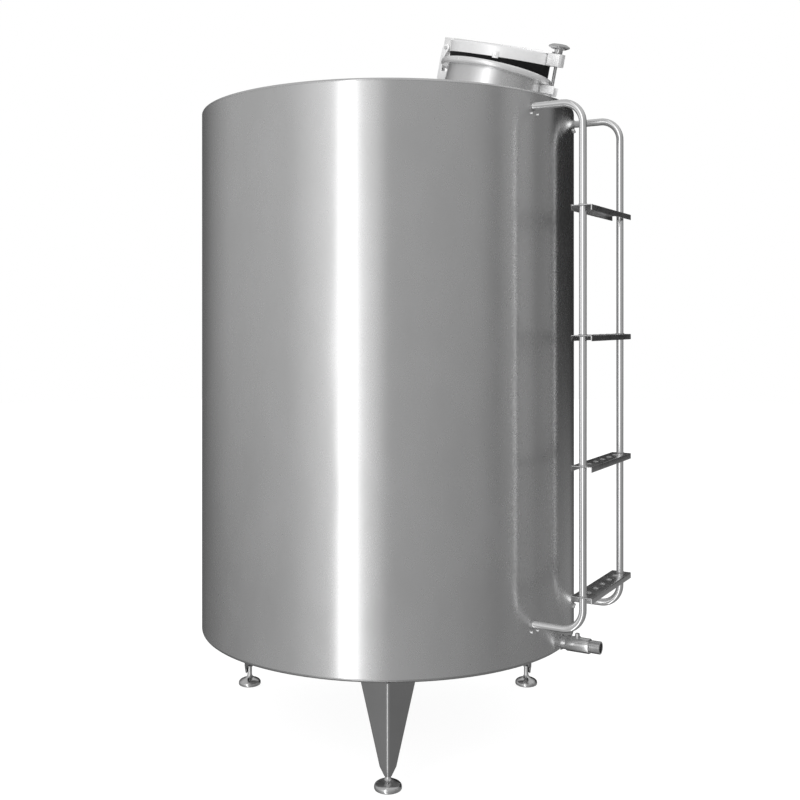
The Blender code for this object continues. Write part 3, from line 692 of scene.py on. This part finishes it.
# The bead round the neck follows the line where the tube comes through the cone.
ring = []
for i in range(150):
    a = 2 * math.pi * i / 150
    x, y = NECK_RADIUS * math.cos(a), NECK_RADIUS * math.sin(a)
    line = [NECK @ Vector((x, y, z)) for z in (-0.15, 0.15)]
    low, high = 0.0, 1.0
    for _ in range(30):
        middle = (low + high) / 2
        p = line[0].lerp(line[1], middle)
        away = math.hypot(p.x - axis_x, p.y)
        if p.z > WALL_TOP + (wall_radius - away) * math.tan(ROOF_SLOPE):
            high = middle
        else:
            low = middle
    ring.append(line[0].lerp(line[1], low))
solid("neck_bead", bead(ring, 0.0024), bead_steel, "tank", slot="neck_sheet")

# Lid pan: a shallow spun pan whose skirt stands round the seal, with a rounded shoulder.
LID = tilted(NECK @ Vector((0, 0, NECK_TOP + 0.035)), 15.5, -55, -28)
lid_steel = metal("lid_steel", 0.93, 0.86, (0.26, 0.40), (1, 1, 1), 0.03, shine=0.35)
LID_RADIUS, LID_TOP = 0.152, 0.033
profile = [(0, LID_TOP)] + curve((LID_RADIUS - 0.006, LID_TOP - 0.006), 0.0059, 90, 0, 8)
profile += [(LID_RADIUS - 0.0001, 0.0008), (LID_RADIUS - 0.001, 0), (LID_RADIUS - 0.002, 0.0008)]
profile += curve((LID_RADIUS - 0.006, LID_TOP - 0.006), 0.004, 0, 90, 6) + [(0, LID_TOP - 0.002)]
pan = solid("lid_dish", lathe(profile, 120), lid_steel, "lid", LID, slot="lid_sheet")
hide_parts("lid_pan")

# Lid seal: one fat black rubber ring, moulded at a slant, so that it fills the wedge under the lid. That wedge
# is the shade in the gap under the tilted lid, so the ring's slant and near-black tone are painted shade laid
# over a real rubber seal.
rubber = bpy.data.materials.new("seal_black_rubber_painted_shade")
rubber.use_nodes = True
tree = rubber.node_tree
shader = tree.nodes["Principled BSDF"]
place = tree.nodes.new("ShaderNodeTexCoord").outputs["Object"]
marks = tree.nodes.new("ShaderNodeGroup")
marks.node_tree = grain
tree.links.new(place, marks.inputs["Vector"])
# Near-black tones: black rubber, made darker still as painted shade for the gap under the lid.
ramp = tree.nodes.new("ShaderNodeValToRGB")
ramp.color_ramp.elements[0].position = 0.35
ramp.color_ramp.elements[0].color = (0.004, 0.004, 0.004, 1)
ramp.color_ramp.elements[1].position = 0.7
ramp.color_ramp.elements[1].color = (0.016, 0.016, 0.017, 1)
tree.links.new(marks.outputs["Tone"], ramp.inputs["Fac"])
tree.links.new(ramp.outputs["Color"], shader.inputs["Base Color"])
shader.inputs["Specular IOR Level"].default_value = 0.15
matt = math_node(tree, "MULTIPLY_ADD", marks.outputs["Gloss"], 0.3, 0.5)
tree.links.new(matt, shader.inputs["Roughness"])
relief = tree.nodes.new("ShaderNodeBump")
relief.inputs["Strength"].default_value = 0.15
relief.inputs["Distance"].default_value = 0.0004
tree.links.new(marks.outputs["Height"], relief.inputs["Height"])
tree.links.new(relief.outputs["Normal"], shader.inputs["Normal"])
seat = (NECK.inverted() @ LID).to_3x3().inverted() @ Vector((0, 0, 1))
seat_origin = LID.inverted() @ NECK @ Vector((0, 0, NECK_TOP + 0.0004))
outer, inner = 0.1497, 0.1497 - 0.022
top = LID_TOP - 0.0063


def seat_height(r, a):
    """Height of the rim's plane in the lid's frame, under a point of the ring."""
    x, y = r * math.cos(a), r * math.sin(a)
    return seat_origin.z - ((x - seat_origin.x) * seat.x + (y - seat_origin.y) * seat.y) / seat.z


rings = [[] for _ in range(10)]
for i in range(144):
    a = 2 * math.pi * i / 144
    foot_out, foot_in, foot_edge = (seat_height(r, a) for r in (outer, inner, outer - 0.0012))
    section = [(inner, foot_in + 0.001), (inner + 0.001, foot_in), (outer - 0.0012, foot_edge)]
    section += [(outer - 0.0002, foot_out + 0.0014), (outer - 0.0012, foot_out + 0.005)]
    section += [(outer, foot_out + 0.009), (outer, top - 0.001), (outer - 0.001, top)]
    section += [(inner + 0.001, top), (inner, top - 0.001)]
    for ring, (r, z) in zip(rings, section):
        ring.append((r * math.cos(a), r * math.sin(a), min(z, top)))
# The slanted ring fills the shaded gap under the lid with near-black painted shade.
seal = solid("lid_seal_and_painted_shade", swept(rings, closed_path=True), rubber, "lid", LID, slot="seal_rubber")
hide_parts("lid_seal")

# Lid bar: a flat strap bent down over the pan's edge, with the hinge eye at one end and a deep bored
# end block at the other. All its edges are rounded by the polishing wheel.
bar_steel = metal("bar_steel", 0.94, 0.84, (0.22, 0.34), (1, 1, 1), 0.03, shine=0.5)
SCREW_AWAY, HINGE_AWAY, HINGE_UP, EYE = 0.1765, -0.176, 0.010, 0.011
bar_low, bar_high = LID_TOP + 0.0003, LID_TOP + 0.0083


def prism(outline, low, high):
    """An (x, y) outline taken from z = low to z = high."""
    return swept([[(x, y, z) for x, y in outline] for z in (low, high)])


def rounded(bm, width, segments=2, sharper=math.radians(30)):
    """Rounds the sharp edges of a bmesh."""
    bmesh.ops.recalc_face_normals(bm, faces=bm.faces)
    edges = [e for e in bm.edges if len(e.link_faces) == 2 and e.calc_face_angle(0) > sharper]
    bmesh.ops.bevel(
        bm, geom=edges, offset=width, segments=segments, profile=0.5, affect="EDGES", clamp_overlap=True
    )
    return bm


def standing(outline, half):
    """An (x, z) outline taken across from y = -half to y = half."""
    return swept([[(x, y, z) for x, z in outline] for y in (-half, half)])


def box(low, high):
    """A box between two corners."""
    corners = ((low[0], low[1]), (high[0], low[1]), (high[0], high[1]), (low[0], high[1]))
    return prism(corners, low[2], high[2])


strap = rounded(box((-0.152, -0.018, bar_low), (0.164, 0.018, bar_high)), 0.0012)
tail = [(-0.148, bar_low), (-0.148, bar_high), (HINGE_AWAY - EYE, bar_high - 0.0005)]
tail += [
    (HINGE_AWAY + EYE * math.cos(a), HINGE_UP + EYE * math.sin(a))
    for a in [math.radians(180 + 180 * i / 16) for i in range(17)]
]
tail += [(HINGE_AWAY + EYE, bar_low)]
eye = rounded(standing(tail, 0.0064), 0.0008)
block_outline = [(0.1524, -0.0199), (0.189, -0.0199), (0.1949, -0.014)]
block_outline += [(0.1949, 0.014), (0.189, 0.0199), (0.1524, 0.0199)]
block = rounded(prism(block_outline, 0.0001, 0.0364), 0.0016, 3)
screw_bore = 0.0055
block = punched(block, punch(screw_bore, SCREW_AWAY, 0, 24, -0.05, 0.1), "bar_block")
bar = solid("lid_strap", joined(strap, eye, block), bar_steel, "lid", LID, slot="fitting_plate")
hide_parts("lid_bar")

# Lid clip: a small bent strap screwed to the skirt, hanging over the seal at the near side.
clip_place = LID @ around(-73)
strap = rounded(box((0.1523, -0.009, -0.004), (0.1548, 0.009, 0.0139)), 0.0008)
screw_head = lathe([(0, 0), (0.0040, 0), (0.0040, 0.0014), (0.0032, 0.0022), (0, 0.0022)], 24)
screw_head.transform(Matrix.Translation((0.1547, 0, 0.006)) @ Matrix.Rotation(math.pi / 2, 4, "Y"))
clip = solid("lid_clip_strap", joined(strap, screw_head), bar_steel, "lid", clip_place, slot="fitting_plate")
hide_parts("lid_clip")

# Hinge: two rounded ears on a bracket welded to the neck, and the pin with its upset ends.
ear_in, ear_out = 0.0071, 0.0121
ear_outline = [
    (HINGE_AWAY + EYE * math.cos(a), HINGE_UP + EYE * math.sin(a))
    for a in [math.radians(180 - 180 * i / 16) for i in range(17)]
]
ear_outline += [(-0.179, -0.022), (-0.179, -0.059), (-0.1445, -0.059), (-0.1400, -0.0855)]
ear_outline += [(-0.190, -0.0855), (-0.190, -0.022)]
ears = []
for y in (-(ear_in + ear_out) / 2, (ear_in + ear_out) / 2):
    ear = standing(ear_outline, (ear_out - ear_in) / 2)
    ear.transform(Matrix.Translation((0, y, 0)))
    ears.append(rounded(ear, 0.0009))
web = rounded(box((-0.1898, -ear_in - 0.001, -0.0853), (-0.1852, ear_in + 0.001, -0.0342)), 0.0008)
hinge_steel = metal("hinge_steel", 0.96, 0.89, (0.24, 0.38), (1, 1, 1), 0.03, shine=0.2)
neck_tube = punch(NECK_RADIUS + 0.0003, 0, 0, 96, -0.2, 0.2)
neck_tube.transform(LID.inverted() @ NECK)
bracket = punched(joined(*ears, web), neck_tube, "hinge_bracket")
bracket = solid("hinge_ears", bracket, hinge_steel, "tank", LID, slot="fitting_plate")
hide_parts("hinge_bracket")
pin_half, pin_radius = 0.0151, 0.005
pin_shape = [(0, -pin_half), (pin_radius - 0.001, -pin_half), (pin_radius, 0.001 - pin_half)]
pin_shape += [(pin_radius, pin_half - 0.001), (pin_radius - 0.001, pin_half), (0, pin_half)]
pin = lathe(pin_shape, 32)
pin.transform(Matrix.Translation((HINGE_AWAY, 0, HINGE_UP)) @ Matrix.Rotation(math.pi / 2, 4, "X"))
pin = solid("hinge_pin_turned", pin, stud_steel, "tank", LID, slot="turned_steel")
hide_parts("hinge_pin")

# Hand screw: a threaded rod with a pointed end, and a star knob of five lobes with a dished top.
screw_steel = metal("screw_steel", 0.80, 0.46, (0.10, 0.22), (1, 1, 20), 0.05)
SCREW = LID @ Matrix.Translation((SCREW_AWAY, 0, 0))
seat_z = 0.0371
thread_low, thread_high = -0.0725, 0.030
pitch, per_turn, root, crest = 0.0016, 24, 0.00425, 0.0007
rings = []
rows_up = int((thread_high - thread_low) / pitch * 4)
for k in range(rows_up + 1):
    z = thread_low + (thread_high - thread_low) * k / rows_up
    ring = []
    for i in range(per_turn):
        a = 2 * math.pi * i / per_turn
        phase = (z / pitch - i / per_turn) % 1.0
        r = root + crest * (1 - abs(2 * phase - 1))
        ring.append((r * math.cos(a), r * math.sin(a), z))
    rings.append(ring)


def plain_ring(r, z):
    """A round ring of the rod, with as many points as its thread has in a turn."""
    angles = [2 * math.pi * i / per_turn for i in range(per_turn)]
    return [(r * math.cos(a), r * math.sin(a), z) for a in angles]


rings = [plain_ring(0.0028, -0.0759), plain_ring(0.0042, -0.0740)] + rings
rings += [plain_ring(0.0049, 0.0303), plain_ring(0.0049, seat_z - 0.0003)]
screw = solid("hand_screw_rod", swept(rings), screw_steel, "hand_screw", SCREW, 50, slot="turned_steel")
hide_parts("hand_screw")
knob_steel = metal("knob_steel", 0.84, 0.42, (0.06, 0.14), (1, 1, 1), 0.03)
knob_radius, lobe_count, lobe_depth = 0.032, 5, 0.14
head = seat_z + 0.012
# Share of the radius, share of the lobes' depth, and height over the head's underside
shaft = [(0.34, 0, seat_z + 0.0001 - head), (0.372, 0, seat_z + 0.0008 - head), (0.372, 0, -0.002)]
underside = [(0.40, 0.2, -0.0006), (0.62, 0.6, 0.0006), (0.86, 1, 0.0038), (0.965, 1, 0.0058)]
edge = [(0.998, 1, 0.0072), (0.985, 1, 0.0086), (0.94, 1, 0.0104), (0.84, 1, 0.0122)]
dished = [(0.68, 0.9, 0.0145), (0.52, 0.8, 0.0158), (0.40, 0.5, 0.0156), (0.28, 0.1, 0.0142), (0.12, 0, 0.0138)]
rings = []
for size, lobes, z in shaft + underside + edge + dished:
    ring = []
    for i in range(100):
        a = 2 * math.pi * i / 100
        r = knob_radius * size * (1 - lobes * lobe_depth * (1 - math.cos(lobe_count * a)) / 2)
        ring.append((r * math.cos(a), r * math.sin(a), head + z))
    rings.append(ring)
knob = solid("hand_knob_star", swept(rings), knob_steel, "hand_screw", SCREW, 40, slot="knob_steel")
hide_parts("hand_knob")

# Screw lug: a thick forked plate welded to the neck, with the hand screw standing in its slot.
screw_end = -0.076
to_neck = NECK.inverted() @ LID
upper, lower = (to_neck @ Vector((SCREW_AWAY, 0, z)) for z in (0, screw_end))
lug_low, lug_high = 0.0132, 0.0377
slot_y = lower.y + (upper.y - lower.y) * ((lug_low + lug_high) / 2 - lower.z) / (upper.z - lower.z)
reach, lug_half, slot_half = NECK_RADIUS + 0.045, 0.018, 0.012
inner_arc = []
for i in range(9):
    y = slot_y + lug_half - 2 * lug_half * i / 8
    inner_arc.append((math.sqrt((NECK_RADIUS + 0.0004) ** 2 - y * y), y))
web_end = NECK_RADIUS + 0.010
near_side = [
    (reach - 0.003, -lug_half), (reach - 0.0004, 0.002 - lug_half),
    (reach - 0.0004, -slot_half - 0.002), (reach - 0.003, -slot_half),
    (web_end + 0.003, -slot_half), (web_end, 0.003 - slot_half),
]
outline = [(x, slot_y + y) for x, y in near_side] + [(x, slot_y - y) for x, y in near_side[::-1]]
lug_shape = rounded(prism(outline + inner_arc, lug_low + 0.0001, lug_high - 0.0001), 0.0010)
lug = solid("screw_lug_fork", lug_shape, hinge_steel, "tank", NECK, slot="fitting_plate")
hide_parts("screw_lug")
lug_bead = []
for side in (-1, 1):
    path = []
    for i in range(15):
        z = lug_low + (lug_high - lug_low - 0.0015) * i / 14
        y = slot_y + side * (lug_half + 0.0004)
        path.append(Vector((math.sqrt((NECK_RADIUS + 0.0008) ** 2 - y * y), y, z)))
    lug_bead.append(bead(path, 0.0018, closed=False))
solid("lug_bead", joined(*lug_bead), bead_steel, "tank", NECK, slot="neck_sheet")

# Legs: three plates folded to a right angle with a rounded ridge, tapering down to the foot's stem.
# Each has a thin weld bead along its top and a sole plate inside for the stem.
leg_steel = metal("leg_steel", 0.62, 0.52, (0.16, 0.28), (8, 8, 1), 0.03)
foot_steel = metal("foot_steel", 0.86, 0.66, (0.10, 0.20), (1, 1, 1), 0.03)
leg_sheet, fold_out = 0.004, 0.0095
leg_top, ridge_top, half_top = 0.2966, 0.588, 0.080
chamfer_height, ridge_foot, half_foot = 0.062, 0.580, 0.023
end_height, ridge_end, half_end = 0.0391, 0.575, 0.010
foot_away = 0.556


def fold(ridge, half, height):
    """Section of the leg: two flat sides, with a rounded fold at the ridge."""
    inset = leg_sheet * math.sqrt(2)
    back = ridge - half
    bend = min(fold_out, half * 0.4)
    turn = [math.radians(-45 + 90 * i / 6) for i in range(7)]
    centre = ridge - bend * math.sqrt(2)
    outside = [(centre + bend * math.cos(a), bend * math.sin(a)) for a in turn]
    tight = max(bend - leg_sheet, 0.0006)
    centre_in = ridge - inset - tight * math.sqrt(2)
    inside = [(centre_in + tight * math.cos(a), tight * math.sin(a)) for a in turn[::-1]]
    round_out = 0.0008
    section = [(back + round_out * 0.3, -half + round_out * 0.3), *outside]
    section += [(back + round_out * 0.3, half - round_out * 0.3), (back, half - round_out)]
    section += [(back, half - inset + round_out), (back + round_out, half - inset + round_out * 0.3)]
    section += inside
    section += [(back + round_out, inset - half - round_out * 0.3), (back, inset - half - round_out)]
    section += [(back, round_out - half)]
    return [(x, y, height) for x, y in section]


foot_profile = [(0, 0.0002), (0.0338, 0.0002), (0.0362, 0.0016), (0.0377, 0.0040), (0.0379, 0.0080)]
foot_profile += [(0.0375, 0.0110), (0.0363, 0.0136), (0.0344, 0.0159), (0.0318, 0.0179), (0.0284, 0.0198)]
foot_profile += [(0.0244, 0.0216), (0.0200, 0.0233), (0.0160, 0.0249), (0.0128, 0.0268), (0.0104, 0.0292)]
foot_profile += [(0.0086, 0.0325), (0.0079, 0.0350), (0.0078, 0.0644), (0, 0.0644)]
for side, azimuth in (("front", -90), ("right", 30), ("left", 150)):
    place = TANK @ around(azimuth)
    rings = [fold(ridge_top, half_top, leg_top), fold(ridge_foot, half_foot, chamfer_height)]
    rings.append(fold(ridge_end, half_end, end_height))
    leg = solid(f"leg_{side}_plate", swept(rings), leg_steel, "tank", place, 25, slot="leg_plate")
    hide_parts(f"leg_{side}")
    inner = ridge_foot - leg_sheet * math.sqrt(2) - 0.0006
    corners = [(inner, 0), (inner - 0.017, 0.017), (inner - 0.017, -0.017)]
    sole = rounded(prism(corners, 0.0651, 0.0749), 0.0006)
    sole = solid(f"leg_{side}_sole", sole, leg_steel, "tank", place, slot="leg_plate")
    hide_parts(f"leg_sole_{side}")
    foot = solid(
        f"foot_{side}_turned", lathe(foot_profile, 64), foot_steel, "tank",
        place @ Matrix.Translation((foot_away, 0, 0)), slot="foot_steel",
    )
    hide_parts(f"foot_{side}")
    path = []
    for i in range(33):
        t = abs(2 * i / 32 - 1)
        x, y = ridge_top - half_top * t + 0.0004, (i / 16 - 1) * (half_top + 0.0002)
        path.append(Vector((x, y, leg_top - 0.0002)))
    solid(f"leg_{side}_bead", bead(path, 0.0018, closed=False), bead_steel, "tank", place, slot="leg_plate")

# Outlet: a stub welded low in the wall, a barrel valve with its short stem and collar on top, and the
# open spigot with a groove behind its mouth. All turned and polished.
outlet_steel = metal("outlet_steel", 0.80, 0.56, (0.12, 0.26), (1, 1, 1), 0.06)
outlet_height = 0.320
lie = Matrix.Translation((0, 0, outlet_height)) @ Matrix.Rotation(math.pi / 2, 4, "Y")
OUTLET = LADDER @ lie
start, end, radius = 0.588, 0.6077, 0.0188
profile = [(0, start), (radius, start), (radius, end), (0, end)]
stub = solid("outlet_stub", lathe(profile, 64), outlet_steel, "tank", OUTLET, slot="outlet_steel")
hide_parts("outlet_pipe")
start, end, radius = 0.608, 0.680, 0.0219
profile = [(0, start), (radius - 0.003, start), (radius - 0.0012, start + 0.0006), (radius, start + 0.003)]
profile += [(radius, end - 0.003), (radius - 0.0012, end - 0.0006)]
profile += [(radius - 0.003, end), (0, end)]
barrel = lathe(profile, 80)
turn = Matrix.Rotation(-math.pi / 2, 4, "Y")
stem = lathe([(0, 0.012), (0.0068, 0.012), (0.0068, 0.030), (0.0060, 0.0326), (0, 0.0328)], 32)
collar = lathe([(0, 0.0195), (0.0095, 0.0195), (0.0095, 0.0232), (0.0086, 0.0240), (0, 0.0240)], 32)
stems = joined(stem, collar)
stems.transform(Matrix.Translation((0, 0, 0.640)) @ turn)
valve = solid("outlet_barrel", joined(barrel, stems), outlet_steel, "tank", OUTLET, slot="outlet_steel")
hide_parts("valve_body")
start, end, radius = 0.6803, 0.711, 0.0184
profile = [(0, start), (0.0170, start), (0.0170, start + 0.004), (0.0183, start + 0.005)]
profile += [(0.0183, end - 0.0065), (radius, end - 0.006), (radius, end - 0.001), (radius - 0.001, end)]
profile += [(0.0141, end), (0.0136, end - 0.0006), (0.0136, end - 0.0219), (0, end - 0.0219)]
spigot = solid("outlet_end", lathe(profile, 80), outlet_steel, "tank", OUTLET, slot="outlet_steel")
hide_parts("outlet_spigot")
ring, stub_bead = [], 0.0196
for i in range(40):
    b = 2 * math.pi * i / 40
    y, z = stub_bead * math.cos(b), outlet_height + stub_bead * math.sin(b)
    ring.append(Vector((math.sqrt(wall_radius ** 2 - y * y) + 0.0008, y, z)))
solid("outlet_bead", bead(ring, 0.0026), bead_steel, "tank", LADDER, slot="outlet_steel")
